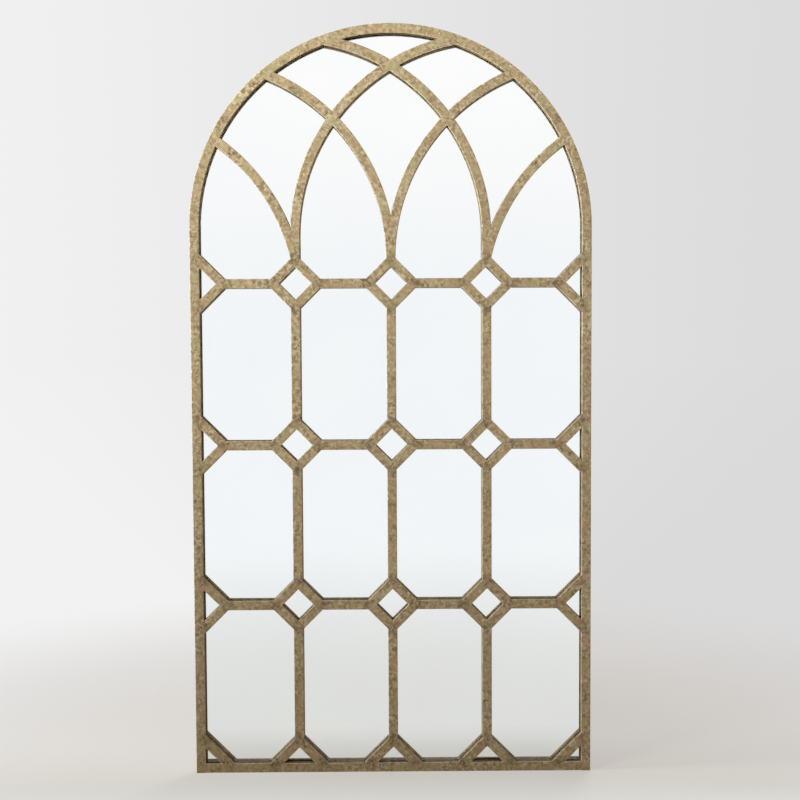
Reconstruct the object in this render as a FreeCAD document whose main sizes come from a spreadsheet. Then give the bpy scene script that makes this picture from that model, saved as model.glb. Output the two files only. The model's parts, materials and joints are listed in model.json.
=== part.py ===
"""Arched window mirror: a welded tube frame with gothic tracery in front of one sheet of mirror.

Millimetres, +Z up, +X to the right of someone who looks into the mirror, +Y towards the wall.
The origin is the centre of the lower edge, halfway between the front face and the wall.
"""
import FreeCAD, Part
import math
import os

import Sketcher

# Driving sizes: alias, value, meaning
DRIVING_SIZES = (
    ("overall_width", 800.0, "outside of one stile to the outside of the other"),
    ("overall_height", 1500.0, "lower edge to the crown of the arch"),
    ("rim_face", 19.0, "width of the rim tube seen from the front"),
    ("rim_wall", 1.5, "wall of the rim tube"),
    ("corner_radius", 1.5, "outside corners of every tube"),
    ("cap_thickness", 2.0, "plate in a stile's lower end"),
    ("bar_face", 19.0, "width of a lattice tube seen from the front"),
    ("bar_depth", 12.0, "lattice tube, front to back"),
    ("bar_wall", 1.2, "wall of a lattice tube"),
    ("diamond_reach", 32.0, "middle of a diamond to a corner of its hole"),
    ("crown_drop", 110.5, "springing of the arch down to the middle of the upper row"),
    ("long_arc_rise", 44.0, "straight foot of a long arc"),
    ("outer_arc_lean", 13.0, "degrees that an outer arc leans where it springs"),
    ("tape_thickness", 1.0, "foam tape between the bars and the glass"),
    ("tape_width", 10.0, "width of the foam tape"),
    ("tape_setback", 2.0, "end of a bar to the end of its tape"),
    ("glass_thickness", 4.0, "mirror sheet"),
    ("board_thickness", 5.0, "backing board"),
    ("edge_gap", 1.0, "rim to the edge of glass and board"),
    ("block_length", 60.0, "setting block under glass and board"),
    ("tab_width", 15.0, "board tab, along the rim"),
    ("tab_reach", 12.0, "board tab, over the board"),
    ("tab_thickness", 1.2, "sheet of a board tab"),
    ("tab_foot", 3.0, "leg of a board tab, as deep as the rim stands back from the board"),
    ("bumper_diameter", 12.0, "rubber bumper where it is stuck on"),
    ("bumper_tip_diameter", 10.0, "rubber bumper where it meets the wall"),
    ("bumper_thickness", 6.0, "rubber bumper, rim to wall"),
    ("bumper_height", 30.0, "lower edge to the middle of a bumper"),
    ("hanger_drop", 40.0, "springing of the arch down to the axis of the hanging rings"),
    ("strap_width", 9.0, "hanger strap and its eye"),
    ("strap_end", 6.0, "lower screw to the lower end of the strap"),
    ("strap_thickness", 1.0, "sheet of the strap"),
    ("ring_clearance", 0.4, "strap to the ring that hangs over it"),
    ("eye_clearance", 0.05, "ring to the eye, all round"),
    ("ring_wire", 3.0, "wire of the hanging ring"),
    ("ring_slack", 2.0, "end of the eye to the inside of the ring"),
    ("ring_reach", 17.0, "axis of the eye to the far inside of the ring"),
    ("ring_bend", 2.5, "bend at the ring's corners, on the wire's middle"),
    ("screw_gap", 5.0, "hanging ring to the head of the upper screw"),
    ("screw_pitch", 12.0, "upper screw to lower screw"),
    ("screw_diameter", 3.5, "shank of a hanger screw"),
    ("screw_length", 12.0, "shank of a hanger screw, point included"),
    ("screw_point", 3.0, "point of a hanger screw"),
    ("screw_clearance", 0.05, "screw to its holes, all round"),
    ("head_diameter", 6.5, "pan head of a hanger screw"),
    ("head_height", 2.0, "pan head of a hanger screw"),
    ("head_edge", 0.8, "straight edge of the pan head"),
    ("head_top_diameter", 4.0, "flat top of the pan head"),
    ("slot_width", 0.9, "drive slot in the pan head"),
    ("slot_depth", 1.0, "drive slot in the pan head"),
    ("overrun", 5.0, "how far a cutting solid runs past what it cuts"),
)

# Worked-out sizes: name, expression, meaning
LAYOUT = (
    ("rim_depth", "Sizes.bar_depth + Sizes.tape_thickness + Sizes.glass_thickness + Sizes.board_thickness"
                  " + Sizes.tab_foot", "rim tube, front to back"),
    ("front", "-(Layout.rim_depth + Sizes.bumper_thickness) / 2", "front face of rim and lattice"),
    ("rim_middle", "Layout.front + Layout.rim_depth / 2", "middle of the rim's depth"),
    ("rim_back", "Layout.front + Layout.rim_depth", "back face of the rim"),
    ("bar_middle", "Layout.front + Sizes.bar_depth / 2", "middle of the lattice's depth"),
    ("bar_back", "Layout.front + Sizes.bar_depth", "back face of the lattice"),
    ("glass_front", "Layout.bar_back + Sizes.tape_thickness", "front face of the glass"),
    ("glass_back", "Layout.glass_front + Sizes.glass_thickness", "back face of the glass"),
    ("board_back", "Layout.glass_back + Sizes.board_thickness", "back face of the board"),
    ("side", "Sizes.overall_width / 2 - Sizes.rim_face", "middle to the inside of a stile"),
    ("pitch", "Layout.side / 2", "one column of diamonds to the next"),
    ("springing", "Sizes.overall_height - Sizes.overall_width / 2", "height of the arch's centre"),
    ("row_pitch", "(Layout.springing - Sizes.crown_drop - Sizes.rim_face) / 3",
     "one row of diamonds to the next"),
    ("bend", "(Sizes.overall_width - Sizes.rim_face) / 2", "bend of rim and tracery, on the tube's middle"),
    ("tip", "Sizes.diamond_reach + Sizes.bar_face * (sqrt(2) - 0.5)",
     "middle of a diamond to its cut-off tip"),
    ("crown_foot", "Sizes.rim_face + 3 * Layout.row_pitch + Layout.tip", "where the tracery springs"),
    ("upright_length", "Layout.row_pitch - 2 * Layout.tip", "mullion between two diamonds"),
    ("cross_length", "Layout.pitch - 2 * Layout.tip", "cross bar between two diamonds"),
    ("outer_x", "-Layout.pitch - Sizes.bar_face / 2 - (Layout.bend - Sizes.bar_face / 2)"
                " * cos(Sizes.outer_arc_lean * 1 deg)", "centre of the left outer arc"),
    ("outer_z", "Layout.crown_foot - (Layout.bend - Sizes.bar_face / 2)"
                " * sin(Sizes.outer_arc_lean * 1 deg)", "centre of the left outer arc"),
    ("long_z", "Layout.crown_foot + Sizes.long_arc_rise", "centres of the long arcs"),
    ("long_x", "Layout.pitch - Layout.bend", "centre of the long arc that springs on the right"),
    ("wire_radius", "Sizes.ring_wire / 2", "hanging ring's wire"),
    ("eye_bore", "Layout.wire_radius + Sizes.eye_clearance", "radius of the eye's bore"),
    ("eye_outside", "Layout.eye_bore + Sizes.strap_thickness", "radius of the rolled eye"),
    ("ring_half", "Sizes.strap_width / 2 + Sizes.ring_slack + Layout.wire_radius",
     "middle of the ring to its wire"),
    ("hanger_height", "Layout.springing - Sizes.hanger_drop", "height of the hanging rings' axis"),
    ("upper_screw", "Sizes.ring_reach + Sizes.ring_wire + Sizes.screw_gap + Sizes.head_diameter / 2",
     "axis of the eye down to the upper screw"),
    ("lower_screw", "Layout.upper_screw + Sizes.screw_pitch", "axis of the eye down to the lower screw"),
    ("hinge_back", "Sizes.strap_thickness + Sizes.ring_clearance + Layout.wire_radius",
     "rim to the axis of the hanging ring"),
)

COLUMNS = ("left", "middle", "right")
ROWS = ("upper", "centre", "lower")
STILE_TAB_SHARES = (0.12, 0.5, 0.88)
RAIL_TAB_SHARES = (-0.6, 0.0, 0.6)
ARCH_TABS = 5

doc = FreeCAD.newDocument("arched_mirror")
nodes = []


def fill_sheet():
    """Put the driving sizes in the spreadsheet, one row each."""
    sheet = doc.addObject("Spreadsheet::Sheet", "Sizes")
    for row, (alias, value, meaning) in enumerate(DRIVING_SIZES, start=1):
        sheet.set(f"A{row}", alias)
        sheet.set(f"B{row}", str(value))
        sheet.set(f"C{row}", meaning)
        sheet.setAlias(f"B{row}", alias)
    doc.recompute()
    return sheet


def fill_layout():
    """Work out the places that several pieces share."""
    layout = doc.addObject("App::VarSet", "Layout")
    for name, expression, meaning in LAYOUT:
        layout.addProperty("App::PropertyFloat", name, "Layout", meaning)
        layout.setExpression(name, expression)
        doc.recompute()
    return layout


def value_of(expression):
    """The number that an expression gives at the present sizes."""
    result = sizes.evalExpression(expression)
    return float(getattr(result, "Value", result))


# Sketches

def new_body(label):
    body = doc.addObject("PartDesign::Body", label)
    body.Label = label
    return body


def new_sketch(body, plane_role):
    sketch = body.newObject("Sketcher::SketchObject", body.Name + "_sketch")
    plane = next(item for item in body.Origin.OriginFeatures if item.Role == plane_role)
    sketch.AttachmentSupport = [(plane, "")]
    sketch.MapMode = "FlatFace"
    return sketch


def pin_point(sketch, edge, end, x, y):
    """Hold one end (1 start, 2 end, 3 centre) of an edge at a place given by two expressions."""
    for kind, axis, place in (("DistanceX", -2, x), ("DistanceY", -1, y)):
        if place == "0":
            sketch.addConstraint(Sketcher.Constraint("PointOnObject", edge, end, axis))
            continue
        number = sketch.addConstraint(Sketcher.Constraint(kind, -1, 1, edge, end, value_of(place)))
        sketch.setExpression(f"Constraints[{number}]", place)


def join_ends(sketch, edges):
    """Close a chain of edges, each end on the next one's start."""
    for edge, following in zip(edges, edges[1:] + edges[:1]):
        sketch.addConstraint(Sketcher.Constraint("Coincident", edge, 2, following, 1))


def add_polygon(sketch, corners):
    """Closed outline through corners, each a pair of expressions."""
    points = [FreeCAD.Vector(value_of(x), value_of(y)) for x, y in corners]
    edges = [sketch.addGeometry(Part.LineSegment(start, stop))
             for start, stop in zip(points, points[1:] + points[:1])]
    join_ends(sketch, edges)
    for edge, (x, y) in zip(edges, corners):
        pin_point(sketch, edge, 1, x, y)


def add_rectangle(sketch, left, right, low, high):
    add_polygon(sketch, ((left, low), (right, low), (right, high), (left, high)))


def add_rounded_rectangle(sketch, left, right, low, high, radius):
    """Rectangle whose corners are quarter turns; its four sides are pinned at both ends."""
    inner_left, inner_right = f"{left} + {radius}", f"{right} - {radius}"
    inner_low, inner_high = f"{low} + {radius}", f"{high} - {radius}"
    sides = (((inner_left, low), (inner_right, low)), ((right, inner_low), (right, inner_high)),
             ((inner_right, high), (inner_left, high)), ((left, inner_high), (left, inner_low)))
    centres = ((inner_right, inner_low), (inner_right, inner_high),
               (inner_left, inner_high), (inner_left, inner_low))
    outline = []
    for number, ((start, stop), centre) in enumerate(zip(sides, centres)):
        side = add_line(sketch, start, stop)
        outline += [side, add_corner(sketch, *centre, radius, number - 1, number)]
        pin_point(sketch, side, 1, *start)
        pin_point(sketch, side, 2, *stop)
    join_ends(sketch, outline)


def add_centred_rectangle(sketch, width, height):
    add_rectangle(sketch, f"-({width}) / 2", f"({width}) / 2", f"-({height}) / 2", f"({height}) / 2")


def add_circle(sketch, x, y, radius):
    centre = FreeCAD.Vector(value_of(x), value_of(y))
    edge = sketch.addGeometry(Part.Circle(centre, FreeCAD.Vector(0, 0, 1), value_of(radius)))
    pin_point(sketch, edge, 3, x, y)
    number = sketch.addConstraint(Sketcher.Constraint("Radius", edge, value_of(radius)))
    sketch.setExpression(f"Constraints[{number}]", radius)


def add_half_circle(sketch, radius, height, rises):
    """Half circle about the vertical axis; counter-clockwise, above its ends if it rises."""
    centre = FreeCAD.Vector(0, value_of(height))
    circle = Part.Circle(centre, FreeCAD.Vector(0, 0, 1), value_of(radius))
    start, stop = (0, math.pi) if rises else (math.pi, 2 * math.pi)
    edge = sketch.addGeometry(Part.ArcOfCircle(circle, start, stop))
    first, last = (radius, f"-({radius})") if rises else (f"-({radius})", radius)
    pin_point(sketch, edge, 1, first, height)
    pin_point(sketch, edge, 2, last, height)
    number = sketch.addConstraint(Sketcher.Constraint("DistanceY", -1, 1, edge, 3, value_of(height)))
    sketch.setExpression(f"Constraints[{number}]", height)
    return edge


def add_line(sketch, start, stop):
    """Open line between two places; its ends are held by its neighbours."""
    points = [FreeCAD.Vector(value_of(x), value_of(y)) for x, y in (start, stop)]
    return sketch.addGeometry(Part.LineSegment(*points))


def add_corner(sketch, x, y, radius, first_quarter, last_quarter):
    """Quarter turn about a centre; its ends are held by its neighbours."""
    centre = FreeCAD.Vector(value_of(x), value_of(y))
    circle = Part.Circle(centre, FreeCAD.Vector(0, 0, 1), value_of(radius))
    start, stop = first_quarter * math.pi / 2, last_quarter * math.pi / 2
    edge = sketch.addGeometry(Part.ArcOfCircle(circle, start, stop))
    number = sketch.addConstraint(Sketcher.Constraint("Radius", edge, value_of(radius)))
    sketch.setExpression(f"Constraints[{number}]", radius)
    return edge


def add_arched_outline(sketch, half_width, flat_end, springing, rises):
    """Rectangle with one flat end and one half-round end."""
    right, left = half_width, f"-({half_width})"
    if not rises:
        right, left = left, right
    flat = add_line(sketch, (left, flat_end), (right, flat_end))
    first_side = add_line(sketch, (right, flat_end), (right, springing))
    arc = add_half_circle(sketch, half_width, springing, rises)
    last_side = add_line(sketch, (left, springing), (left, flat_end))
    join_ends(sketch, [flat, first_side, arc, last_side])
    pin_point(sketch, flat, 1, left, flat_end)
    pin_point(sketch, flat, 2, right, flat_end)


# Features

def pad(body, sketch, length, side="Symmetric", reversed_way=False):
    feature = body.newObject("PartDesign::Pad", body.Name + "_pad")
    feature.Profile = sketch
    feature.SideType = side
    feature.Reversed = reversed_way
    feature.setExpression("Length", length)
    return feature


def pocket(body, sketch, length, side="Symmetric", reversed_way=False):
    feature = body.newObject("PartDesign::Pocket", body.Name + "_pocket")
    feature.Profile = sketch
    feature.SideType = side
    feature.Reversed = reversed_way
    feature.setExpression("Length", length)
    return feature


def revolve(body, sketch, angle):
    """Turn a section about the sketch's own vertical axis, upwards from its +X side."""
    feature = body.newObject("PartDesign::Revolution", body.Name + "_revolution")
    feature.Profile = sketch
    feature.ReferenceAxis = (sketch, ["V_Axis"])
    feature.Reversed = True
    feature.setExpression("Angle", angle)
    return feature


def make_box(label, length, width, height):
    """Box centred on its own origin."""
    body = new_body(label)
    sketch = new_sketch(body, "XY_Plane")
    add_centred_rectangle(sketch, length, width)
    pad(body, sketch, height)
    return body


# Copies, trims and nodes

def place(item, x="0", y="0", z="0", axis=(0, 0, 1), turn="0 deg"):
    """Bind an object's placement to expressions."""
    for name, expression in (("x", x), ("y", y), ("z", z)):
        item.setExpression(f"Placement.Base.{name}", expression)
    for name, amount in zip("xyz", axis):
        item.setExpression(f"Placement.Rotation.Axis.{name}", str(amount))
    item.setExpression("Placement.Rotation.Angle", turn)
    return item


def copy_of(piece, **placement):
    """One more piece of the same make, moved on from where the first one is."""
    link = doc.addObject("App::Link", piece.Name + "_copy")
    link.LinkedObject = piece
    link.LinkTransform = True
    return place(link, **placement)


def turned_copy(piece):
    """The same piece turned round the mirror's upright middle line, for the other side."""
    return copy_of(piece, y="2 * Layout.bar_middle", turn="180 deg")


def trim(label, piece, tools):
    """Cut a piece back to the faces of its neighbours."""
    for number, tool in enumerate(tools, start=1):
        cut = doc.addObject("Part::Cut", f"{label}_trim_{number}")
        cut.Base = piece
        cut.Tool = tool
        piece = cut
    return piece


def add_node(label, *pieces):
    """Group the pieces of one sub-part under the name that it is written with."""
    node = doc.addObject("Part::Compound", label)
    node.Label = label
    node.Links = list(pieces)
    nodes.append(node)


# Tubes

def add_tube_section(sketch, middle, width, height, wall=None):
    """Section with rounded corners round a point of the X axis; hollow where a wall is given."""
    left, right = f"{middle} - ({width}) / 2", f"{middle} + ({width}) / 2"
    low, high = f"-({height}) / 2", f"({height}) / 2"
    add_rounded_rectangle(sketch, left, right, low, high, "Sizes.corner_radius")
    if wall:
        add_rectangle(sketch, f"{left} + {wall}", f"{right} - {wall}", f"{low} + {wall}", f"{high} - {wall}")


def make_upright_tube(label, face, depth, wall, length):
    """Straight tube along Z, centred on its own origin; solid without a wall."""
    body = new_body(label)
    sketch = new_sketch(body, "XY_Plane")
    add_tube_section(sketch, "0", face, depth, wall)
    pad(body, sketch, length)
    return body


def make_level_tube(label, face, depth, wall, length):
    """Straight tube along X, centred on its own origin; solid without a wall."""
    body = new_body(label)
    sketch = new_sketch(body, "YZ_Plane")
    add_tube_section(sketch, "0", depth, face, wall)
    pad(body, sketch, length)
    return body


def make_bent_tube(label, face, depth, wall, sweep, foot=None, middle="Layout.bend"):
    """Tube bent about the Y axis from +X upwards, with a straight foot below if one is given."""
    body = new_body(label)
    sketch = new_sketch(body, "XY_Plane")
    add_tube_section(sketch, middle, face, depth, wall)
    revolve(body, sketch, sweep)
    if foot:
        foot_sketch = new_sketch(body, "XY_Plane")
        add_tube_section(foot_sketch, middle, face, depth, wall)
        pad(body, foot_sketch, foot, side="One side", reversed_way=True)
    return body


# Rim

def make_outlines():
    """Solids as large as the rim's tubes, to cope what is welded to them."""
    size = ("Sizes.rim_face", "Layout.rim_depth", None)
    stile = make_upright_tube("stile_outline", *size, "Layout.springing")
    rail = make_level_tube("rail_outline", *size, "2 * Layout.side")
    stiles = {side: copy_of(stile, x=sign + "Layout.bend", y="Layout.rim_middle", z="Layout.springing / 2")
              for side, sign in (("left", "-"), ("right", ""))}
    return stiles, place(rail, y="Layout.rim_middle", z="Sizes.rim_face / 2")


def make_rim(stile_outlines):
    stile = make_upright_tube("stile_tube", "Sizes.rim_face", "Layout.rim_depth", "Sizes.rim_wall",
                              "Layout.springing")
    drill_stile(stile)
    cap = make_box("stile_cap", "Sizes.rim_face - 2 * Sizes.rim_wall",
                   "Layout.rim_depth - 2 * Sizes.rim_wall", "Sizes.cap_thickness")
    rail = make_level_tube("rail_tube", "Sizes.rim_face", "Layout.rim_depth", "Sizes.rim_wall",
                           "2 * (Layout.side + Sizes.corner_radius)")
    place(rail, y="Layout.rim_middle", z="Sizes.rim_face / 2")
    arch = make_bent_tube("arch_tube", "Sizes.rim_face", "Layout.rim_depth", "Sizes.rim_wall", "180 deg")
    caps = []
    for side, sign in (("left", "-"), ("right", "")):
        across = sign + "Layout.bend"
        upright = copy_of(stile, x=across, y="Layout.rim_middle", z="Layout.springing / 2")
        add_node(f"{side}_stile", upright)
        caps.append(copy_of(cap, x=across, y="Layout.rim_middle", z="Sizes.cap_thickness / 2"))
    add_node("stile_end_caps", *caps)
    add_node("bottom_rail", trim("bottom_rail", rail, stile_outlines.values()))
    add_node("arch_rim", copy_of(arch, y="Layout.rim_middle", z="Layout.springing"))


def drill_stile(stile):
    """Two pilot holes for a hanger's screws, through the stile's back wall only."""
    sketch = new_sketch(stile, "XZ_Plane")
    for drop in ("Layout.upper_screw", "Layout.lower_screw"):
        height = f"Layout.hanger_height - {drop} - Layout.springing / 2"
        add_circle(sketch, "0", height, "Sizes.screw_diameter / 2 + Sizes.screw_clearance")
    pocket(stile, sketch, "Layout.rim_depth / 2 + Sizes.overrun", side="One side")


# Lattice

def make_diamond_bar(label, level_end_cut, upright_end_cut):
    """One side of a diamond, right of and above its middle; an end is cut off or runs on into the rim."""
    reach, run, half_face = "Sizes.diamond_reach", "Sizes.corner_radius", "Sizes.bar_face / 2"
    corner = f"({reach} + Sizes.bar_face * sqrt(2))"
    upright_end = [(f"-{run}", f"{reach} + {run}"), (f"-{run}", f"{corner} + {run}")]
    level_end = [(f"{corner} + {run}", f"-{run}"), (f"{reach} + {run}", f"-{run}")]
    if upright_end_cut:
        upright_end = [("0", reach), ("0", "Layout.tip"), (half_face, "Layout.tip")]
    if level_end_cut:
        level_end = [("Layout.tip", half_face), ("Layout.tip", "0"), (reach, "0")]
    body = new_body(label)
    outline = new_sketch(body, "XZ_Plane")
    add_polygon(outline, upright_end + level_end)
    round_long_edges(body, pad(body, outline, "Sizes.bar_depth"))
    inner = f"{reach} + Sizes.bar_wall * sqrt(2)"
    outer = f"{corner} - Sizes.bar_wall * sqrt(2)"
    bore = new_sketch(body, "XZ_Plane")
    add_polygon(bore, [("-Sizes.overrun", f"{inner} + Sizes.overrun"),
                       ("-Sizes.overrun", f"{outer} + Sizes.overrun"),
                       (f"{outer} + Sizes.overrun", "-Sizes.overrun"),
                       (f"{inner} + Sizes.overrun", "-Sizes.overrun")])
    pocket(body, bore, "Sizes.bar_depth - 2 * Sizes.bar_wall")
    return body


def round_long_edges(body, feature):
    """Round the four edges of a bar that falls at 45 degrees."""
    doc.recompute()
    along = FreeCAD.Vector(1, 0, -1).normalize()
    names = [f"Edge{number}" for number, edge in enumerate(feature.Shape.Edges, start=1)
             if abs(edge.tangentAt(edge.FirstParameter).dot(along)) > math.cos(math.radians(1))]
    fillet = body.newObject("PartDesign::Fillet", body.Name + "_fillet")
    fillet.Base = (feature, names)
    fillet.setExpression("Radius", "Sizes.corner_radius")


def diamond_copy(bar, x, z, quadrant):
    """A diamond bar in one of the four quadrants, each reached by half a turn of the bar."""
    axis, turn = {"right_upper": ((0, 0, 1), "0 deg"), "left_upper": ((0, 0, 1), "180 deg"),
                  "right_lower": ((1, 0, 0), "180 deg"), "left_lower": ((0, 1, 0), "180 deg")}[quadrant]
    return copy_of(bar, x=x, y="Layout.bar_middle", z=z, axis=axis, turn=turn)


def make_lattice(stile_outlines, rail_outline):
    whole = make_diamond_bar("diamond_bar", True, True)
    beside_stile = make_diamond_bar("stile_diamond_bar", True, False)
    above_rail = make_diamond_bar("rail_diamond_bar", False, True)
    in_corner = make_diamond_bar("corner_bar", False, False)
    tube = ("Sizes.bar_face", "Sizes.bar_depth", "Sizes.bar_wall")
    mullion = make_upright_tube("mullion_tube", *tube, "Layout.upright_length")
    cross_bar = make_level_tube("cross_tube", *tube, "Layout.cross_length")

    columns = {name: f"{step} * Layout.pitch" for name, step in zip(COLUMNS, (-1, 0, 1))}
    heights = {name: f"Sizes.rim_face + {step} * Layout.row_pitch" for name, step in zip(ROWS, (3, 2, 1))}
    quadrants = ("right_upper", "left_upper", "right_lower", "left_lower")
    for row, z in heights.items():
        for column, x in columns.items():
            add_node(f"diamond_{row}_{column}", *(diamond_copy(whole, x, z, name) for name in quadrants))
            add_node(f"mullion_{row}_{column}",
                     copy_of(mullion, x=x, y="Layout.bar_middle", z=f"{z} - Layout.row_pitch / 2"))
        for side, x, facing in (("left", "-Layout.side", "right"), ("right", "Layout.side", "left")):
            add_node(f"half_diamond_{row}_{side}",
                     *(trim(f"half_diamond_{row}_{side}_{half}",
                            diamond_copy(beside_stile, x, z, f"{facing}_{half}"), [stile_outlines[side]])
                       for half in ("upper", "lower")))
        add_node(f"cross_bars_{row}",
                 *(copy_of(cross_bar, x=f"{step} * Layout.pitch", y="Layout.bar_middle", z=z)
                   for step in (-1.5, -0.5, 0.5, 1.5)))
    for column, x in columns.items():
        add_node(f"rail_diamond_{column}",
                 *(trim(f"rail_diamond_{column}_{half}",
                        diamond_copy(above_rail, x, "Sizes.rim_face", f"{half}_upper"), [rail_outline])
                   for half in ("right", "left")))
    for side, x, facing in (("left", "-Layout.side", "right"), ("right", "Layout.side", "left")):
        brace = diamond_copy(in_corner, x, "Sizes.rim_face", f"{facing}_upper")
        add_node(f"corner_brace_{side}",
                 trim(f"corner_brace_{side}", brace, [stile_outlines[side], rail_outline]))


# Tracery: every arc has the rim's bend

def meeting_angle(centre, other, sign="+"):
    """Angle, seen from one arc's centre, at which two arcs of equal bend cross."""
    across = f"(({other[0]}) - ({centre[0]}))"
    upwards = f"(({other[1]}) - ({centre[1]}))"
    return f"atan2({upwards}; {across}) {sign} acos(hypot({across}; {upwards}) / (2 * Layout.bend))"


def make_arc(label, centre, start, stop, wall, foot=None):
    """Bent tube about a centre in the lattice's plane, from one angle up to another."""
    arc = make_bent_tube(label, "Sizes.bar_face", "Sizes.bar_depth", wall, f"({stop}) - ({start})", foot)
    return place(arc, x=centre[0], y="Layout.bar_middle", z=centre[1], axis=(0, 1, 0), turn=f"-({start})")


def make_tracery():
    rim_centre = ("0", "Layout.springing")
    outer_centre = ("Layout.outer_x", "Layout.outer_z")
    middle_centre = ("-Layout.bend", "Layout.crown_foot")
    right_centre = ("Layout.long_x", "Layout.long_z")
    left_centre = ("-Layout.long_x", "Layout.long_z")
    wall = "Sizes.bar_wall"

    rim = make_bent_tube("rim_outline", "Sizes.rim_face + Sizes.overrun", "Layout.rim_depth", None, "180 deg",
                         middle="Layout.bend + Sizes.overrun / 2")
    place(rim, y="Layout.rim_middle", z="Layout.springing")
    long_end = meeting_angle(right_centre, rim_centre)
    right_outline = make_arc("long_arc_outline", right_centre, "0 deg", long_end, None,
                             "Sizes.long_arc_rise")
    left_outline = turned_copy(right_outline)

    long_arc = make_arc("long_arc", right_centre, "0 deg", long_end, wall, "Sizes.long_arc_rise")
    add_node("long_arc_left", trim("long_arc_left", turned_copy(long_arc), [rim]))
    crown = meeting_angle(right_centre, left_centre)
    lower = make_arc("long_arc_lower", right_centre, "0 deg", crown, wall, "Sizes.long_arc_rise")
    add_node("long_arc_right_lower", trim("long_arc_right_lower", lower, [left_outline]))
    upper = make_arc("long_arc_upper", right_centre, crown, long_end, wall)
    add_node("long_arc_right_upper", trim("long_arc_right_upper", upper, [left_outline, rim]))

    crossing = meeting_angle(middle_centre, left_centre)
    middle_end = meeting_angle(middle_centre, rim_centre)
    lower = make_arc("middle_arc_lower", middle_centre, "0 deg", crossing, wall)
    lower = trim("middle_arc_lower_left", lower, [make_beyond("middle_mitre", "0"), left_outline])
    upper = make_arc("middle_arc_upper", middle_centre, crossing, middle_end, wall)
    upper = trim("middle_arc_upper_left", upper, [left_outline])
    outer_start = "Sizes.outer_arc_lean * 1 deg - asin(Sizes.bar_face / Layout.bend)"
    outer = make_arc("outer_arc", outer_centre, outer_start, meeting_angle(outer_centre, rim_centre), wall)
    outer = trim("outer_arc_foot", outer,
                 [make_beyond("outer_mitre", "-Layout.pitch"), make_below(), left_outline])
    for name, piece, ends in (("middle_arc_{}_lower", lower, []), ("middle_arc_{}_upper", upper, [rim]),
                              ("outer_arc_{}", outer, [rim])):
        for side, item in (("left", copy_of(piece)), ("right", turned_copy(piece))):
            label = name.format(side)
            add_node(label, trim(label, item, ends))


def make_beyond(label, x):
    """Block to the right of an upright mitre plane, as wide as the arc is bent."""
    block = make_box(label, "Layout.bend", "Sizes.bar_depth + 2 * Sizes.overrun", "2 * Layout.bend")
    return place(block, x=f"{x} + Layout.bend / 2", y="Layout.bar_middle", z="Layout.crown_foot")


def make_below():
    """Block under the level at which the tracery springs."""
    block = make_box("below_springing", "2 * Layout.bend", "Sizes.bar_depth + 2 * Sizes.overrun",
                     "Layout.bend")
    return place(block, x="-Layout.bend", y="Layout.bar_middle", z="Layout.crown_foot - Layout.bend / 2")


# Mirror and what holds it

def make_arched_sheet(label, thickness, front):
    body = new_body(label)
    sketch = new_sketch(body, "XZ_Plane")
    add_arched_outline(sketch, "Layout.side - Sizes.edge_gap", "Sizes.rim_face + Sizes.edge_gap",
                       "Layout.springing", rises=True)
    pad(body, sketch, thickness)
    return place(body, y=f"{front} + {thickness} / 2")


def make_mirror():
    add_node("mirror_glass", make_arched_sheet("glass_sheet", "Sizes.glass_thickness", "Layout.glass_front"))
    add_node("backing_board", make_arched_sheet("board_sheet", "Sizes.board_thickness", "Layout.glass_back"))
    block = make_box("setting_block", "Sizes.block_length", "Sizes.glass_thickness + Sizes.board_thickness",
                     "Sizes.edge_gap")
    add_node("setting_blocks", *(copy_of(block, x=f"{sign}Layout.pitch",
                                         y="(Layout.glass_front + Layout.board_back) / 2",
                                         z="Sizes.rim_face + Sizes.edge_gap / 2") for sign in ("-", "")))


def make_tape():
    """Foam strips behind the mullions and the cross bars."""
    upright = make_box("upright_tape", "Sizes.tape_width", "Sizes.tape_thickness",
                       "Layout.upright_length - 2 * Sizes.tape_setback")
    level = make_box("level_tape", "Layout.cross_length - 2 * Sizes.tape_setback", "Sizes.tape_thickness",
                     "Sizes.tape_width")
    depth = "Layout.bar_back + Sizes.tape_thickness / 2"
    add_node("glazing_tape_uprights",
             *(copy_of(upright, x=f"{column} * Layout.pitch", y=depth,
                       z=f"Sizes.rim_face + {row} * Layout.row_pitch")
               for row in (0.5, 1.5, 2.5) for column in (-1, 0, 1)))
    add_node("glazing_tape_cross_bars",
             *(copy_of(level, x=f"{column} * Layout.pitch", y=depth,
                       z=f"Sizes.rim_face + {row} * Layout.row_pitch")
               for row in (1, 2, 3) for column in (-1.5, -0.5, 0.5, 1.5)))


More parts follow.
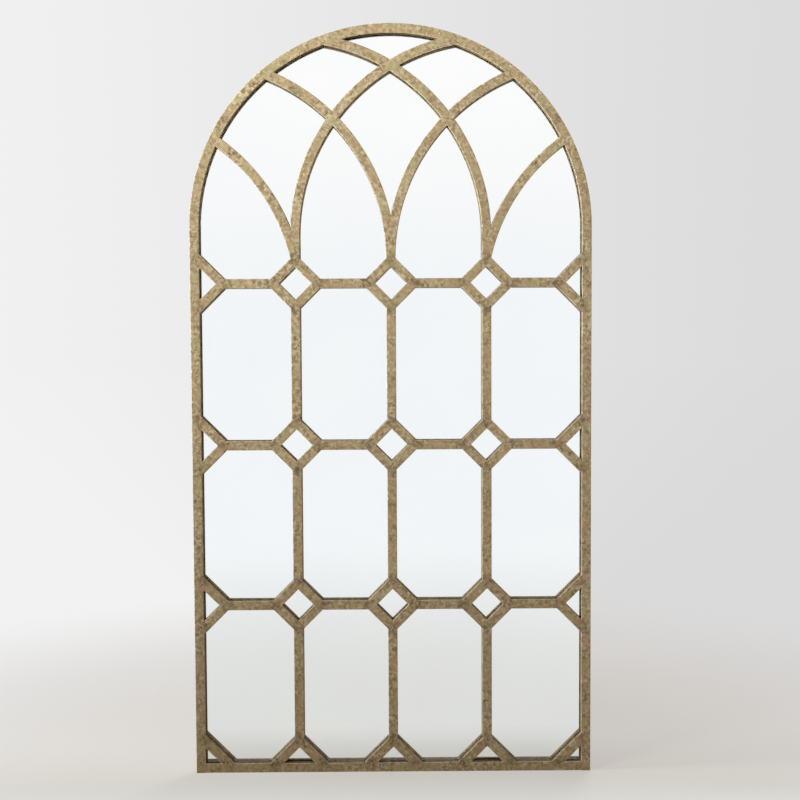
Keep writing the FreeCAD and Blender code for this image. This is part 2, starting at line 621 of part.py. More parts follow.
def make_tabs():
    """Bent tabs: one leg on the rim's inside, the other over the board's back."""
    tab = new_body("board_tab")
    sketch = new_sketch(tab, "YZ_Plane")
    add_polygon(sketch, (("0", "0"), ("Sizes.tab_foot", "0"), ("Sizes.tab_foot", "Sizes.tab_thickness"),
                         ("Sizes.tab_thickness", "Sizes.tab_thickness"),
                         ("Sizes.tab_thickness", "Sizes.tab_reach"), ("0", "Sizes.tab_reach")))
    pad(tab, sketch, "Sizes.tab_width")
    tabs = [copy_of(tab, x=f"{share} * Layout.side", y="Layout.board_back", z="Sizes.rim_face")
            for share in RAIL_TAB_SHARES]
    for share in STILE_TAB_SHARES:
        for sign, turn in (("-", "90 deg"), ("", "-90 deg")):
            tabs.append(copy_of(tab, x=f"{sign}Layout.side", y="Layout.board_back",
                                z=f"{share} * Layout.springing", axis=(0, 1, 0), turn=turn))
    seat = "sqrt(Layout.side * Layout.side - Sizes.tab_width * Sizes.tab_width / 4)"
    for number in range(1, ARCH_TABS + 1):
        angle = f"180 deg * {number} / {ARCH_TABS + 1}"
        tabs.append(copy_of(tab, x=f"{seat} * cos({angle})", y="Layout.board_back",
                            z=f"Layout.springing + {seat} * sin({angle})",
                            axis=(0, 1, 0), turn=f"270 deg - {angle}"))
    add_node("board_tabs", *tabs)


# Hanging hardware

def make_strap():
    """Strap with a rolled eye; its own origin is on the rim's back, level with the eye."""
    body = new_body("strap")
    plate = new_sketch(body, "XZ_Plane")
    add_arched_outline(plate, "Sizes.strap_width / 2", "0",
                       "Sizes.strap_width / 2 - Layout.lower_screw - Sizes.strap_end", rises=False)
    for drop in ("Layout.upper_screw", "Layout.lower_screw"):
        add_circle(plate, "0", f"-{drop}", "Sizes.screw_diameter / 2 + Sizes.screw_clearance")
    pad(body, plate, "Sizes.strap_thickness", side="One side", reversed_way=True)
    eye = new_sketch(body, "YZ_Plane")
    add_circle(eye, "Layout.hinge_back", "0", "Layout.eye_outside")
    pad(body, eye, "Sizes.strap_width")
    bore = new_sketch(body, "YZ_Plane")
    add_circle(bore, "Layout.hinge_back", "0", "Layout.eye_bore")
    pocket(body, bore, "Sizes.strap_width + 2 * Sizes.overrun")
    return body


def make_ring():
    """D-shaped wire ring that hangs from its straight side; its own origin is on the hinge axis."""
    body = new_body("hanging_ring")
    path = new_sketch(body, "XZ_Plane")
    half, bend = "Layout.ring_half", "Sizes.ring_bend"
    low = "-Sizes.ring_reach - Layout.wire_radius + Layout.ring_half"
    bar_end = f"{half} - {bend}"
    bar = add_line(path, (f"-({bar_end})", "0"), (bar_end, "0"))
    right_bend = add_corner(path, bar_end, f"-({bend})", bend, 0, 1)
    right_leg = add_line(path, (half, f"-({bend})"), (half, low))
    bow = add_half_circle(path, half, low, rises=False)
    left_leg = add_line(path, (f"-({half})", low), (f"-({half})", f"-({bend})"))
    left_bend = add_corner(path, f"-({bar_end})", f"-({bend})", bend, 1, 2)
    for edge, end, following, start in ((bar, 2, right_bend, 2), (right_bend, 1, right_leg, 1),
                                        (right_leg, 2, bow, 2), (bow, 1, left_leg, 1),
                                        (left_leg, 2, left_bend, 2), (left_bend, 1, bar, 1)):
        path.addConstraint(Sketcher.Constraint("Coincident", edge, end, following, start))
    pin_point(path, bar, 1, f"-({bar_end})", "0")
    pin_point(path, bar, 2, bar_end, "0")
    pin_point(path, right_leg, 1, half, f"-({bend})")
    pin_point(path, left_leg, 2, f"-({half})", f"-({bend})")
    wire = new_sketch(body, "YZ_Plane")
    add_circle(wire, "0", "0", "Layout.wire_radius")
    pipe = body.newObject("PartDesign::AdditivePipe", "hanging_ring_pipe")
    pipe.Profile = wire
    pipe.Spine = (path, [f"Edge{number}" for number in range(1, 7)])
    return body


def make_screw():
    """Pan-head screw along Y, head towards the wall; its own origin is under the head."""
    body = new_body("screw")
    profile = new_sketch(body, "XY_Plane")
    shank = "Sizes.screw_diameter / 2"
    add_polygon(profile, (("0", "Sizes.head_height"), ("Sizes.head_top_diameter / 2", "Sizes.head_height"),
                          ("Sizes.head_diameter / 2", "Sizes.head_edge"), ("Sizes.head_diameter / 2", "0"),
                          (shank, "0"), (shank, "-(Sizes.screw_length - Sizes.screw_point)"),
                          ("0", "-Sizes.screw_length")))
    revolve(body, profile, "360 deg")
    slot = new_sketch(body, "XY_Plane")
    add_rectangle(slot, "-Sizes.slot_width / 2", "Sizes.slot_width / 2",
                  "Sizes.head_height - Sizes.slot_depth", "Sizes.head_height + Sizes.overrun")
    pocket(body, slot, "Sizes.head_diameter + 2 * Sizes.overrun")
    return body


def make_hanging_hardware():
    strap = make_strap()
    ring = make_ring()
    screw = make_screw()
    bumper = doc.addObject("Part::Cone", "bumper")
    bumper.setExpression("Radius1", "Sizes.bumper_diameter / 2")
    bumper.setExpression("Radius2", "Sizes.bumper_tip_diameter / 2")
    bumper.setExpression("Height", "Sizes.bumper_thickness")
    screws = []
    bumpers = []
    for side, sign in (("left", "-"), ("right", "")):
        across = sign + "Layout.bend"
        add_node(f"hanger_strap_{side}",
                 copy_of(strap, x=across, y="Layout.rim_back", z="Layout.hanger_height"))
        add_node(f"d_ring_{side}", copy_of(ring, x=across, y="Layout.rim_back + Layout.hinge_back",
                                           z="Layout.hanger_height"))
        for drop in ("Layout.upper_screw", "Layout.lower_screw"):
            screws.append(copy_of(screw, x=across, y="Layout.rim_back + Sizes.strap_thickness",
                                  z=f"Layout.hanger_height - {drop}"))
        bumpers.append(copy_of(bumper, x=across, y="Layout.rim_back", z="Sizes.bumper_height",
                               axis=(1, 0, 0), turn="-90 deg"))
    add_node("hanger_screws", *screws)
    add_node("wall_bumpers", *bumpers)


# Checks and files

def check_document():
    """Stop on any object that failed and any sub-part that is empty or broken."""
    for item in doc.Objects:
        if {"Invalid", "Error"} & set(item.State):
            raise RuntimeError(f"{item.Label} failed: {item.State}")
    for node in nodes:
        if node.Shape.isNull() or not node.Shape.isValid() or not node.Shape.Solids:
            raise RuntimeError(f"{node.Label} has no valid solid")


def write_parts():
    os.makedirs("parts", exist_ok=True)
    for node in nodes:
        node.Shape.exportStep(f"parts/{node.Label}.step")
        box = node.Shape.optimalBoundingBox()
        print(f"{node.Label}: {len(node.Shape.Solids)} solids, {node.Shape.Volume:.0f} mm3, "
              f"{box.XLength:.1f} x {box.YLength:.1f} x {box.ZLength:.1f} mm")
    print(len(nodes), "nodes")


sizes = fill_sheet()
fill_layout()
stile_outlines, rail_outline = make_outlines()
make_rim(stile_outlines)
make_lattice(stile_outlines, rail_outline)
make_tracery()
make_mirror()
make_tape()
make_tabs()
make_hanging_hardware()
doc.recompute()
check_document()
write_parts()
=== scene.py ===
"""Looks of the arched window mirror: antique gold tubes, silvered glass, dark board and zinc fittings."""
import json
import math

import bmesh
import bpy
from mathutils import Color, Matrix, Vector


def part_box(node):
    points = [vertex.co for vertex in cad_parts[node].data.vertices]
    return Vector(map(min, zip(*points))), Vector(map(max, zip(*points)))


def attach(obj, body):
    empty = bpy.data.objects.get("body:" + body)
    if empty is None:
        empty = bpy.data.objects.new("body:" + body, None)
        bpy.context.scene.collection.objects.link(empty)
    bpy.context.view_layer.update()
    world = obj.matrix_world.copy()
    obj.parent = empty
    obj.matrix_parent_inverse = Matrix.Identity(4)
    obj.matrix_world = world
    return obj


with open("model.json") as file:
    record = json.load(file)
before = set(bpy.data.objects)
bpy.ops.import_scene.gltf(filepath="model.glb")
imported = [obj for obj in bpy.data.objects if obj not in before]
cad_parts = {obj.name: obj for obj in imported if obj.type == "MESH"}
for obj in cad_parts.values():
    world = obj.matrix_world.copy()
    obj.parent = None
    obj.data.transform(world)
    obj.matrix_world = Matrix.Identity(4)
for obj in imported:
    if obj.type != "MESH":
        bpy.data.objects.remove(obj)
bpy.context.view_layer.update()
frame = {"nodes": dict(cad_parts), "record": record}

# Colours as a screen shows them, and the full value of a channel there
SCREEN_FULL = 255
# Pale gold on the tubes' edges, partly wear and partly a painted highlight
RUBBED_GOLD_AND_HIGHLIGHT = (222, 209, 178)
PALE_GOLD = (189, 173, 141)
GOLD = (159, 140, 108)
GOLD_SHADE = (138, 116, 85)
UMBER = (92, 73, 53)
OLIVE = (154, 145, 104)
ROSE = (170, 137, 108)
GLASS = (254, 255, 254)
GLASS_TINT = (254, 254, 254)
SILVER = (253, 254, 254)
SILVER_CLOUD = (251, 252, 253)
BOARD = (62, 54, 47)
BOARD_FIBRE = (92, 80, 68)
BOARD_STREAK = (50, 44, 39)
ZINC = (206, 208, 212)
ZINC_DULL = (168, 170, 172)
FOAM = (34, 34, 34)
SEALANT_DUST = (58, 58, 57)
RUBBER = (48, 47, 46)
RUBBER_DUST = (78, 76, 73)
FLOOR = (235, 229, 219)
FLOOR_MOTTLE = (231, 224, 213)
# Wall behind: lighter at the left, painted shade at the right
WALL_LIT_LEFT = (242, 242, 242)
WALL_SHADED_RIGHT = (219, 218, 218)
ROOM_LIGHT = (255, 236, 216)
WINDOW_LIGHT = (241, 251, 255)
BACK_LIGHT = (255, 255, 255)
ROOM_LOW = (246, 248, 250)
ROOM_HIGH = (255, 254, 254)
# Floor as seen: painted shade near the mirror, paler further off
FLOOR_NEAR_SHADED = (224, 224, 221)
FLOOR_FAR = (246, 248, 250)

# In all that follows, a noise is its patterns per metre, detail, roughness and distortion.
# A range is a low and a high value, then what they turn into, which is 0 and 1 where it isn't given.
# Stops are places on a colour ramp with their colours. A bump is its depth in metres and its strength.

# Gold paint: rubbed patches, fine grain, and darker paint at the welds, in metres from a diamond's tip
GOLD_PATCHES = (140, 5, 0.66, 0.6)
GOLD_STOPS = ((0.30, UMBER), (0.44, GOLD_SHADE), (0.52, GOLD), (0.64, PALE_GOLD))
GOLD_GRAIN = (1100, 2)
GRAIN_BUMP = (0.0002, 0.2)
PATCH_BUMP = (0.0005, 0.3)
WELD_REACH = (0.004, 0.020, 1.0, 0.0)
WELD_COVER = (0.3, 0.6, 0.75, 0.25)

# Stains over the gold paint: where the noise shows, how much it covers at most, and how far it is shifted
NO_SHIFT = (0.0, 0.0, 0.0)
SHIFT = (3.7, 1.3, 2.1)
GOLD_STAINS = (
    {"stain": OLIVE, "noise": (38, 3), "shown": (0.50, 0.68), "most": 0.55, "shift": NO_SHIFT},
    {"stain": ROSE, "noise": (32, 3), "shown": (0.48, 0.66), "most": 0.42, "shift": SHIFT},
    {"stain": GOLD_SHADE, "noise": (9, 2), "shown": (0.35, 0.65), "most": 0.28, "shift": SHIFT},
    {"stain": UMBER, "noise": (480, 3, 0.7), "shown": (0.54, 0.68), "most": 0.38, "shift": NO_SHIFT},
)

# Wear and a painted highlight on the tubes' rounded edges: by how squarely a face looks to front or back,
# and by the patches
OFF_SIDES = (0.1, 0.4)
OFF_FRONTS = (0.75, 0.97, 1.0, 0.0)
EDGE_WEAR_AND_HIGHLIGHT_COVER = (0.34, 0.58, 0.25, 0.55)

# Gloss of the gold paint: roughness of its patches, what the tubes' matt sides add, and the metal in it
GOLD_ROUGHNESS = (0.3, 0.7, 0.46, 0.28)
SIDE_ROUGHNESS = (0.05, 0.5, 0.45, 0.0)
GOLD_METALLIC = 0.28
GOLD_SPECULAR = 0.25

# Glass, with level smears of wiping
GLASS_NOISE = (3.5, 3)
GLASS_STOPS = ((0.3, GLASS), (0.7, GLASS_TINT))
GLASS_IOR = 1.52
SMEAR_STRETCH = 6.0
SMEAR_NOISE = (14, 4, 0.6, 1.5)
SMEAR_ROUGHNESS = (0.5, 0.8, 0.0, 0.012)

# Silver coat: its looks, its thickness and depth in the glass in metres, its size as a share of the glass
SILVER_NOISE = (5, 4)
SILVER_STOPS = ((0.3, SILVER), (0.7, SILVER_CLOUD))
SILVER_ROUGHNESS = (0.4, 0.8, 0.0, 0.004)
COAT_THICKNESS = 0.0001
COAT_INSET = 0.0001
COAT_SHARE = 0.999

# Board: fibres, and long upright streaks of the roller that put the coat on
FIBRE_NOISE = (380, 5, 0.7, 2.0)
FIBRE_STOPS = ((0.35, BOARD), (0.75, BOARD_FIBRE))
FIBRE_BUMP = (0.0003, 0.5)
STREAK_STRETCH = 0.12
STREAK_NOISE = (30, 3)
STREAK_COVER = (0.4, 0.7, 0.0, 0.35)
STREAK_ROUGHNESS = (0.3, 0.7, 0.75, 0.9)

# Zinc plate: dull patches, and long fine scratches
ZINC_NOISE = (180, 4, 0.6)
ZINC_STOPS = ((0.35, ZINC_DULL), (0.6, ZINC))
ZINC_ROUGHNESS = (0.3, 0.7, 0.42, 0.26)
SCRATCH_STRETCH = 0.1
SCRATCH_NOISE = (1600, 2)
SCRATCH_BUMP = (0.0001, 0.3)

# Rubber and foam: the dust on them, and their cells per metre
DUST_NOISE = (220, 4)
DUST_STARTS = 0.4
DUST_ENDS = 0.75
DUST_ROUGHNESS = (0.3, 0.7, 0.92, 0.7)
FOAM_LOOK = {"base": FOAM, "dust": SEALANT_DUST, "cells": 1500, "bump": (0.0003, 0.5)}
RUBBER_LOOK = {"base": RUBBER, "dust": RUBBER_DUST, "cells": 2500, "bump": (0.0001, 0.5)}

# Sides that stand for the arch's half circle, and what the edge bead leaves free in its gap, in metres
ARCH_STEPS = 96
BEAD_PLAY = 0.0001

# Background by the way that one looks: across the wall, which has painted shade towards the right, from the
# room to the wall, and up the room
WALL_ACROSS = (-0.45, 0.45)
ROOM_TO_WALL = (-0.3, 0.3)
ROOM_RISE = (0.02, 0.22)

# Floor: side in metres, cuts, looks, and the metres over which it fades before and all round the mirror
FLOOR_SIZE = 60
FLOOR_CUTS = 8
FLOOR_NOISE = (2.0, 4)
FLOOR_STOPS = ((0.3, FLOOR), (0.7, FLOOR_MOTTLE))
FLOOR_ROUGHNESS = (0.3, 0.7, 0.8, 0.9)
# Metres from the mirror over which the floor's painted shade gives way to the far colour
FLOOR_AWAY = (0.3, 2.8)
FADE_BEFORE = (-0.30, -0.02, 1.0, 0.5)
FADE_AROUND = (0.35, 1.9, 0.5, 1.0)

# Strength of the light from all round, and square lamps in metres, degrees of spread, and watts
WORLD_LIGHT = 0.30
WINDOW_LAMP = {"place": (-2.7, -2.1, 1.45), "target": (0.0, 0.0, 2.3), "size": 1.0, "spread": 75,
               "power": 79, "colour": WINDOW_LIGHT, "mirrored": False}
SIDE_LAMP = {"place": (-2.9, -0.28, 0.8), "target": (0.2, 0.0, 0.3), "size": 0.6, "spread": 45,
             "power": 5.5, "colour": WINDOW_LIGHT, "mirrored": False}
BACK_LAMP = {"place": (1.2, 2.4, 2.6), "target": (0.0, 0.0, 0.8), "size": 1.4, "spread": 180,
             "power": 34, "colour": BACK_LIGHT, "mirrored": True}

# Camera, found from the photo: focal length as a share of the picture's width, and sensor width in mm
PICTURE_SHARE = 1.5
SENSOR_WIDTH = 36.0

# Camera's place in metres, and its pitch, roll and yaw in degrees from a level look along +Y
CAMERA_PLACE = (0.0038, -2.4125, 0.878)
CAMERA_TURN = (-2.91, 0.295, -0.326)


def find_middle(name):
    """Middle of a node's box."""
    low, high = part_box(name)
    return (low + high) / 2


# Lattice in metres, read from the frame: middle of a diamond, pitches, lowest row, and middle to tip
LOWER_DIAMOND = find_middle("diamond_lower_middle")
COLUMN_PITCH = LOWER_DIAMOND.x - find_middle("diamond_lower_left").x
ROW_PITCH = find_middle("diamond_centre_middle").z - LOWER_DIAMOND.z
LOWEST_ROW = LOWER_DIAMOND.z - ROW_PITCH
DIAMOND_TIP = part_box("diamond_lower_middle")[1].x - LOWER_DIAMOND.x

# Gap between the rim and the board's edge in metres, read from the frame
EDGE_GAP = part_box("backing_board")[0].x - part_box("left_stile")[1].x

# Material slot of each node, from the record
SLOT_OF_NODE = {entry["node"]: entry["material_slot"] for entry in frame["record"]["subparts"]}


# Helpers for node materials

def screen_colour(colour):
    """Linear colour with alpha from a colour as a screen shows it."""
    shown = Color([channel / SCREEN_FULL for channel in colour])
    return (*shown.from_srgb_to_scene_linear(), 1.0)


def set_socket(tree, socket, value):
    """Put a value, or another node's output, into a socket."""
    if isinstance(value, bpy.types.NodeSocket):
        tree.links.new(value, socket)
    else:
        socket.default_value = value


def new_node(tree, kind, inputs=None, **settings):
    """A node with its settings; each input is a value or another node's output."""
    node = tree.nodes.new(kind)
    for name, value in settings.items():
        setattr(node, name, value)
    for name, value in (inputs or {}).items():
        set_socket(tree, node.inputs[name], value)
    return node


def new_material(name):
    """A material with its node tree, its shader, and places on the object in metres."""
    material = bpy.data.materials.new(name)
    material.use_nodes = True
    tree = material.node_tree
    shader = tree.nodes["Principled BSDF"]
    place = new_node(tree, "ShaderNodeTexCoord").outputs["Object"]
    return material, tree, shader, place


def finish_material(tree, shader, colour, roughness, normal=None, metallic=0.0):
    """Put colour, roughness and normal, and how metallic it is, into the shader."""
    tree.links.new(colour, shader.inputs["Base Color"])
    tree.links.new(roughness, shader.inputs["Roughness"])
    shader.inputs["Metallic"].default_value = metallic
    if normal:
        tree.links.new(normal, shader.inputs["Normal"])


def add_noise(tree, place, scale, detail, roughness=0.5, distortion=0.0):
    """Noise with a pattern of 1 / scale metres."""
    inputs = {"Vector": place, "Scale": scale, "Detail": detail, "Roughness": roughness,
              "Distortion": distortion}
    return new_node(tree, "ShaderNodeTexNoise", inputs).outputs["Fac"]


def add_parts(tree, vector):
    """X, Y and Z of a vector."""
    return new_node(tree, "ShaderNodeSeparateXYZ", {"Vector": vector}).outputs


def add_stretch(tree, place, stretch):
    """Places with their height scaled: a noise on them has upright streaks below 1, level ones above."""
    inputs = {"Vector": place, "Scale": (1.0, 1.0, stretch)}
    return new_node(tree, "ShaderNodeMapping", inputs).outputs["Vector"]


def add_ramp(tree, factor, stops):
    """Colour ramp through (position, colour) stops; a new point gets its position after it is made."""
    node = new_node(tree, "ShaderNodeValToRGB", {"Fac": factor})
    points = node.color_ramp.elements
    while len(points) < len(stops):
        points.new(0.5)
    for point, (position, colour) in zip(points, stops):
        point.position = position
        point.color = screen_colour(colour)
    return node.outputs["Color"]


def add_range(tree, value, low, high, to_low=0.0, to_high=1.0):
    """Value from low to high, turned smoothly into to_low to to_high."""
    inputs = {"Value": value, "From Min": low, "From Max": high, "To Min": to_low, "To Max": to_high}
    return new_node(tree, "ShaderNodeMapRange", inputs, interpolation_type="SMOOTHSTEP").outputs["Result"]


def add_math(tree, operation, first, second=0.0):
    """Result of a sum or another operation on one or two values."""
    return new_node(tree, "ShaderNodeMath", {0: first, 1: second}, operation=operation).outputs["Value"]


def add_mix(tree, factor, first, second):
    """First colour up to the second by factor; a plain colour is given as a screen shows it."""
    node = new_node(tree, "ShaderNodeMix", data_type="RGBA")
    sockets = [socket for socket in node.inputs if socket.enabled]
    for socket, value in zip(sockets, (factor, first, second)):
        set_socket(tree, socket, screen_colour(value) if isinstance(value, tuple) else value)
    return next(socket for socket in node.outputs if socket.enabled)


def add_shader_mix(tree, factor, first, second):
    """First shader up to the second by factor."""
    return new_node(tree, "ShaderNodeMixShader", {0: factor, 1: first, 2: second}).outputs["Shader"]


def add_bump(tree, height, depth, strength, normal=None):
    """Normal of a surface with bumps, over another normal if one is given."""
    inputs = {"Height": height, "Distance": depth, "Strength": strength}
    if normal:
        inputs["Normal"] = normal
    return new_node(tree, "ShaderNodeBump", inputs).outputs["Normal"]


# Materials

def add_lattice_distance(tree, value, pitch, start=0.0):
    """Distance from the nearest line of a lattice, at most half its pitch."""
    steps = add_math(tree, "DIVIDE", add_math(tree, "SUBTRACT", value, start), pitch)
    return add_math(tree, "MULTIPLY", add_math(tree, "PINGPONG", steps, 0.5), pitch)


def add_weld_share(tree, place):
    """1 at the welds on the tips of the lattice's diamonds, 0 away from them."""
    parts = add_parts(tree, place)
    across = add_lattice_distance(tree, parts["X"], COLUMN_PITCH)
    up = add_lattice_distance(tree, parts["Z"], ROW_PITCH, LOWEST_ROW)
    nearest = None
    for along, aside in ((up, across), (across, up)):
        beyond = add_math(tree, "SUBTRACT", along, DIAMOND_TIP)
        squares = [add_math(tree, "POWER", leg, 2.0) for leg in (beyond, aside)]
        square = add_math(tree, "ADD", *squares)
        nearest = add_math(tree, "MINIMUM", nearest, square) if nearest else square
    return add_range(tree, add_math(tree, "SQRT", nearest), *WELD_REACH)


def add_facing(tree):
    """1 on faces that look to the front or the back, 0 on the tubes' sides."""
    facing = new_node(tree, "ShaderNodeTexCoord").outputs["Normal"]
    return add_math(tree, "ABSOLUTE", add_parts(tree, facing)["Y"])


def add_edge_share(tree, facing):
    """1 on the rounded long edges of the tubes, 0 on their flat faces."""
    off_sides = add_range(tree, facing, *OFF_SIDES)
    off_fronts = add_range(tree, facing, *OFF_FRONTS)
    return add_math(tree, "MULTIPLY", off_sides, off_fronts)


def add_stain(tree, place, colour, stain, noise, shown, most, shift):
    """Colour with a stain over it where a noise is in the range shown."""
    shifted = new_node(tree, "ShaderNodeMapping", {"Vector": place, "Location": shift}).outputs["Vector"]
    share = add_range(tree, add_noise(tree, shifted, *noise), *shown, 0.0, most)
    return add_mix(tree, share, colour, stain)


def make_antique_gold():
    """Gold paint rubbed over umber, in small patches that drift to olive and to rose, with wear and a
    painted highlight on the edges.
    """
    material, tree, shader, place = new_material("antique_gold")
    patches = add_noise(tree, place, *GOLD_PATCHES)
    colour = add_ramp(tree, patches, GOLD_STOPS)
    for stain in GOLD_STAINS:
        colour = add_stain(tree, place, colour, **stain)
    covered = add_range(tree, patches, *WELD_COVER)
    welds = add_math(tree, "MULTIPLY", add_weld_share(tree, place), covered)
    colour = add_mix(tree, welds, colour, UMBER)
    facing = add_facing(tree)
    # Pale gold on the rounded edges: partly wear, partly a painted highlight
    rubbed = add_range(tree, patches, *EDGE_WEAR_AND_HIGHLIGHT_COVER)
    edges = add_math(tree, "MULTIPLY", add_edge_share(tree, facing), rubbed)
    colour = add_mix(tree, edges, colour, RUBBED_GOLD_AND_HIGHLIGHT)
    roughness = add_range(tree, patches, *GOLD_ROUGHNESS)
    roughness = add_math(tree, "ADD", roughness, add_range(tree, facing, *SIDE_ROUGHNESS))
    normal = add_bump(tree, add_noise(tree, place, *GOLD_GRAIN), *GRAIN_BUMP)
    normal = add_bump(tree, patches, *PATCH_BUMP, normal)
    finish_material(tree, shader, colour, roughness, normal, metallic=GOLD_METALLIC)
    shader.inputs["Specular IOR Level"].default_value = GOLD_SPECULAR
    return material


def make_glass():
    """Clear float glass with the faintest smears of wiping."""
    material, tree, shader, place = new_material("mirror")
    tint = add_ramp(tree, add_noise(tree, place, *GLASS_NOISE), GLASS_STOPS)
    smears = add_noise(tree, add_stretch(tree, place, SMEAR_STRETCH), *SMEAR_NOISE)
    finish_material(tree, shader, tint, add_range(tree, smears, *SMEAR_ROUGHNESS))
    shader.inputs["Transmission Weight"].default_value = 1.0
    shader.inputs["IOR"].default_value = GLASS_IOR
    return material


def make_silver():
    """Silver coat on the back of the glass, with a hint of cloudiness."""
    material, tree, shader, place = new_material("silver")
    clouds = add_noise(tree, place, *SILVER_NOISE)
    colour = add_ramp(tree, clouds, SILVER_STOPS)
    finish_material(tree, shader, colour, add_range(tree, clouds, *SILVER_ROUGHNESS), metallic=1.0)
    return material


def make_board():
    """Fibreboard with a thin dark coat that the fibres show through."""
    material, tree, shader, place = new_material("board")
    fibres = add_noise(tree, place, *FIBRE_NOISE)
    streaks = add_noise(tree, add_stretch(tree, place, STREAK_STRETCH), *STREAK_NOISE)
    colour = add_ramp(tree, fibres, FIBRE_STOPS)
    colour = add_mix(tree, add_range(tree, streaks, *STREAK_COVER), colour, BOARD_STREAK)
    roughness = add_range(tree, streaks, *STREAK_ROUGHNESS)
    finish_material(tree, shader, colour, roughness, add_bump(tree, fibres, *FIBRE_BUMP))
    return material


def make_zinc():
    """Zinc plate, satin, with dull patches and fine scratches."""
    material, tree, shader, place = new_material("zinc_plate")
    patches = add_noise(tree, place, *ZINC_NOISE)
    colour = add_ramp(tree, patches, ZINC_STOPS)
    scratches = add_noise(tree, add_stretch(tree, place, SCRATCH_STRETCH), *SCRATCH_NOISE)
    roughness = add_range(tree, patches, *ZINC_ROUGHNESS)
    finish_material(tree, shader, colour, roughness, add_bump(tree, scratches, *SCRATCH_BUMP), metallic=1.0)
    return material


def make_rubber(name, base, dust, cells, bump):
    """Matt rubber or foam with dust on it, and with cells of 1 / cells metres."""
    material, tree, shader, place = new_material(name)
    walls = new_node(tree, "ShaderNodeTexVoronoi", {"Vector": place, "Scale": cells}).outputs["Distance"]
    dusty = add_noise(tree, place, *DUST_NOISE)
    colour = add_ramp(tree, dusty, ((DUST_STARTS, base), (DUST_ENDS, dust)))
    roughness = add_range(tree, dusty, *DUST_ROUGHNESS)
    finish_material(tree, shader, colour, roughness, add_bump(tree, walls, *bump))
    return material


def dress_nodes():
    """Give every CAD node the material of its slot."""
    materials = {
        "antique_gold": make_antique_gold(),
        "mirror": make_glass(),
        "board": make_board(),
        "foam_tape": make_rubber("foam_tape", **FOAM_LOOK),
        "setting_rubber": make_rubber("setting_rubber", **RUBBER_LOOK),
        "zinc_plate": make_zinc(),
        "bumper_rubber": make_rubber("bumper_rubber", **RUBBER_LOOK),
    }
    for name, node in frame["nodes"].items():
        node.data.materials.clear()
        node.data.materials.append(materials[SLOT_OF_NODE[name]])


# Pieces of the scene alone

def make_arched_outline(radius, springing, bottom):
    """Points (x, z) from the lower right corner over the half circle to the lower left corner."""
    turns = [math.pi * step / ARCH_STEPS for step in range(ARCH_STEPS + 1)]
    arch = [(radius * math.cos(turn), springing + radius * math.sin(turn)) for turn in turns]
    return [(radius, bottom)] + arch + [(-radius, bottom)]


def add_piece(name, shape, material):
    """Piece of the scene from a bmesh; it rides on the frame."""
    bmesh.ops.recalc_face_normals(shape, faces=shape.faces)
    mesh = bpy.data.meshes.new(name)
    shape.to_mesh(mesh)
    shape.free()
    mesh.materials.append(material)
    piece = bpy.data.objects.new(name, mesh)
    bpy.context.collection.objects.link(piece)
    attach(piece, "frame")


def add_silvering():
    """Coat of silver just inside the back of the glass, which makes it a mirror."""
    low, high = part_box("mirror_glass")
    outline = make_arched_outline(high.x, high.z - high.x, low.z)
    shape = bmesh.new()
    corners = [shape.verts.new((x, high.y - COAT_INSET - COAT_THICKNESS, z)) for x, z in outline]
    front = shape.faces.new(corners)
    moved = bmesh.ops.extrude_face_region(shape, geom=[front])["geom"]
    backs = [item for item in moved if isinstance(item, bmesh.types.BMVert)]
    bmesh.ops.translate(shape, verts=backs, vec=(0.0, COAT_THICKNESS, 0.0))
    bmesh.ops.scale(shape, verts=shape.verts, vec=(COAT_SHARE, 1.0, COAT_SHARE),
                    space=Matrix.Translation((0.0, 0.0, -(low.z + high.z) / 2)))
    add_piece("silvering", shape, make_silver())


def add_edge_bead():
    """Dark sealing bead in the gap round the board, so that no light comes through."""
    low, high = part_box("backing_board")
    springing = high.z - high.x
    inner = make_arched_outline(high.x + BEAD_PLAY, springing, low.z)
    outer = make_arched_outline(high.x + EDGE_GAP - BEAD_PLAY, springing, low.z)
    shape = bmesh.new()
    sections = []
    for (inner_x, inner_z), (outer_x, outer_z) in zip(inner, outer):
        corners = ((inner_x, low.y, inner_z), (outer_x, low.y, outer_z),
                   (outer_x, high.y - BEAD_PLAY, outer_z), (inner_x, high.y - BEAD_PLAY, inner_z))
        sections.append([shape.verts.new(corner) for corner in corners])
    for section, following in zip(sections, sections[1:]):
        for near in range(len(section)):
            after = (near + 1) % len(section)
            shape.faces.new((section[near], section[after], following[after], following[near]))
    shape.faces.new(sections[0])
    shape.faces.new(sections[-1])
    add_piece("edge_bead", shape, make_rubber("edge_bead", **FOAM_LOOK))


# Stage

def add_glow(tree, kind, colour, strength=1.0):
    """Shader of a background or an emission, which shows its colour as it is at a strength of 1."""
    return new_node(tree, kind, {"Color": colour, "Strength": strength}).outputs[0]


def add_seen_directly(tree):
    """1 for camera, glossy and transmission rays, 0 for the rays that light things."""
    path = new_node(tree, "ShaderNodeLightPath").outputs
    seen = add_math(tree, "MAXIMUM", path["Is Camera Ray"], path["Is Glossy Ray"])
    return add_math(tree, "MAXIMUM", seen, path["Is Transmission Ray"])


def add_background(tree, parts, share, near, far):
    """Pale wall behind the mirror, with painted shade towards its right; the room before it goes from the
    near colour to the far one by share.
    """
    # Painted shade: the wall goes darker from left to right
    wall = add_mix(tree, add_range(tree, parts["X"], *WALL_ACROSS), WALL_LIT_LEFT, WALL_SHADED_RIGHT)
    room = add_mix(tree, share, near, far)
    return add_mix(tree, add_range(tree, parts["Y"], *ROOM_TO_WALL), room, wall)


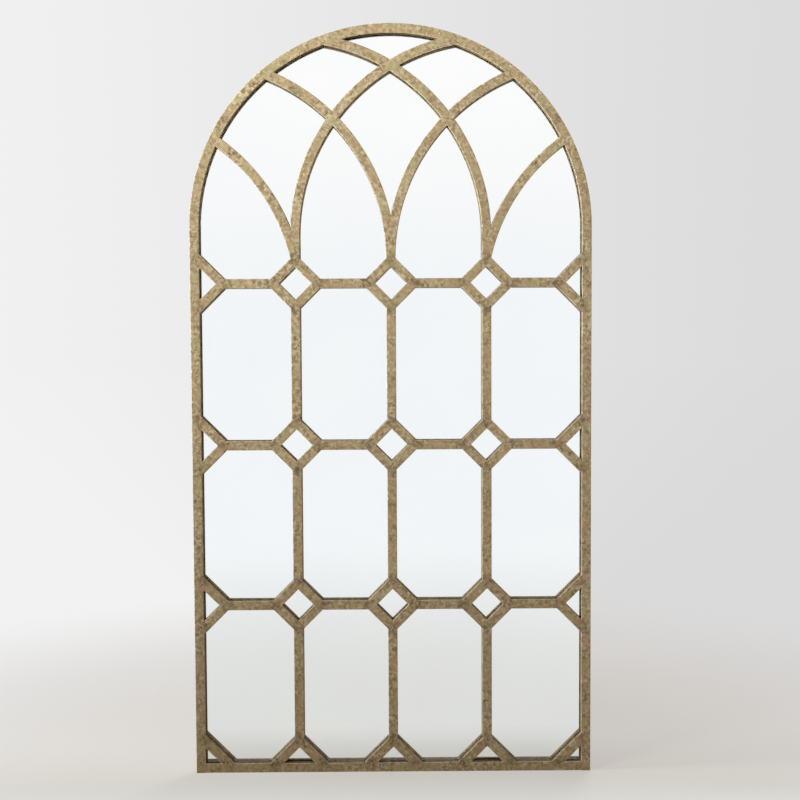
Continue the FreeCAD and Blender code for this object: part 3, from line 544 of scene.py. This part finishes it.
def make_world():
    """Pale background where it is seen or mirrored, and an even light from all round for the rest."""
    world = bpy.data.worlds.new("studio")
    world.use_nodes = True
    tree = world.node_tree
    tree.nodes.clear()
    parts = add_parts(tree, new_node(tree, "ShaderNodeTexCoord").outputs["Generated"])
    high = add_range(tree, parts["Z"], *ROOM_RISE)
    background = add_background(tree, parts, high, ROOM_LOW, ROOM_HIGH)
    light = add_glow(tree, "ShaderNodeBackground", screen_colour(ROOM_LIGHT), WORLD_LIGHT)
    seen = add_glow(tree, "ShaderNodeBackground", background)
    mixed = add_shader_mix(tree, add_seen_directly(tree), light, seen)
    new_node(tree, "ShaderNodeOutputWorld", {"Surface": mixed})
    bpy.context.scene.world = world


def make_floor():
    """Pale floor that keeps the mirror's shadow and fades into the background further off; where it is
    seen, painted shade darkens it near the mirror.
    """
    bpy.ops.mesh.primitive_grid_add(x_subdivisions=FLOOR_CUTS, y_subdivisions=FLOOR_CUTS, size=FLOOR_SIZE)
    floor = bpy.context.object
    floor.name = "floor"
    material, tree, shader, place = new_material("floor")
    mottle = add_noise(tree, place, *FLOOR_NOISE)
    colour = add_ramp(tree, mottle, FLOOR_STOPS)
    finish_material(tree, shader, colour, add_range(tree, mottle, *FLOOR_ROUGHNESS))
    away = new_node(tree, "ShaderNodeVectorMath", {0: place}, operation="LENGTH").outputs["Value"]
    way = new_node(tree, "ShaderNodeVectorMath", {0: place}, operation="NORMALIZE").outputs["Vector"]
    # Painted shade: where it is seen, the floor is darker near the mirror
    far = add_range(tree, away, *FLOOR_AWAY)
    background = add_background(tree, add_parts(tree, way), far, FLOOR_NEAR_SHADED, FLOOR_FAR)
    glow = add_glow(tree, "ShaderNodeEmission", background)
    before = add_range(tree, add_parts(tree, place)["Y"], *FADE_BEFORE)
    fading = add_math(tree, "MAXIMUM", add_range(tree, away, *FADE_AROUND), before)
    share = add_math(tree, "MULTIPLY", fading, add_seen_directly(tree))
    mixed = add_shader_mix(tree, share, shader.outputs["BSDF"], glow)
    tree.links.new(mixed, tree.nodes["Material Output"].inputs["Surface"])
    floor.data.materials.append(material)


def add_lamp(name, place, target, size, spread, power, colour, mirrored):
    """Square lamp at place that shines at target; one that isn't mirrored doesn't show in the glass."""
    lamp = bpy.data.lights.new(name, "AREA")
    lamp.size = size
    lamp.spread = math.radians(spread)
    lamp.energy = power
    lamp.color = screen_colour(colour)[:3]
    item = bpy.data.objects.new(name, lamp)
    item.location = place
    item.rotation_euler = (Vector(target) - Vector(place)).to_track_quat("-Z", "Y").to_euler()
    item.visible_camera = False
    item.visible_glossy = mirrored
    item.visible_transmission = mirrored
    bpy.context.collection.objects.link(item)


def make_camera():
    """Camera where the photo was taken from; a quarter turn lifts it from looking down to looking level."""
    camera = bpy.data.objects.new("camera", bpy.data.cameras.new("camera"))
    camera.data.sensor_width = SENSOR_WIDTH
    camera.data.lens = SENSOR_WIDTH * PICTURE_SHARE
    pitch, roll, yaw = (math.radians(angle) for angle in CAMERA_TURN)
    turn = Matrix.Rotation(yaw, 4, "Z") @ Matrix.Rotation(roll, 4, "Y") @ Matrix.Rotation(pitch, 4, "X")
    level = Matrix.Rotation(math.pi / 2, 4, "X")
    camera.matrix_world = Matrix.Translation(CAMERA_PLACE) @ turn @ level
    bpy.context.collection.objects.link(camera)
    bpy.context.scene.camera = camera


dress_nodes()
add_silvering()
add_edge_bead()
make_world()
make_floor()
add_lamp("window_light", **WINDOW_LAMP)
add_lamp("side_light", **SIDE_LAMP)
add_lamp("back_light", **BACK_LAMP)
make_camera()
bpy.context.scene.view_settings.view_transform = "Standard"
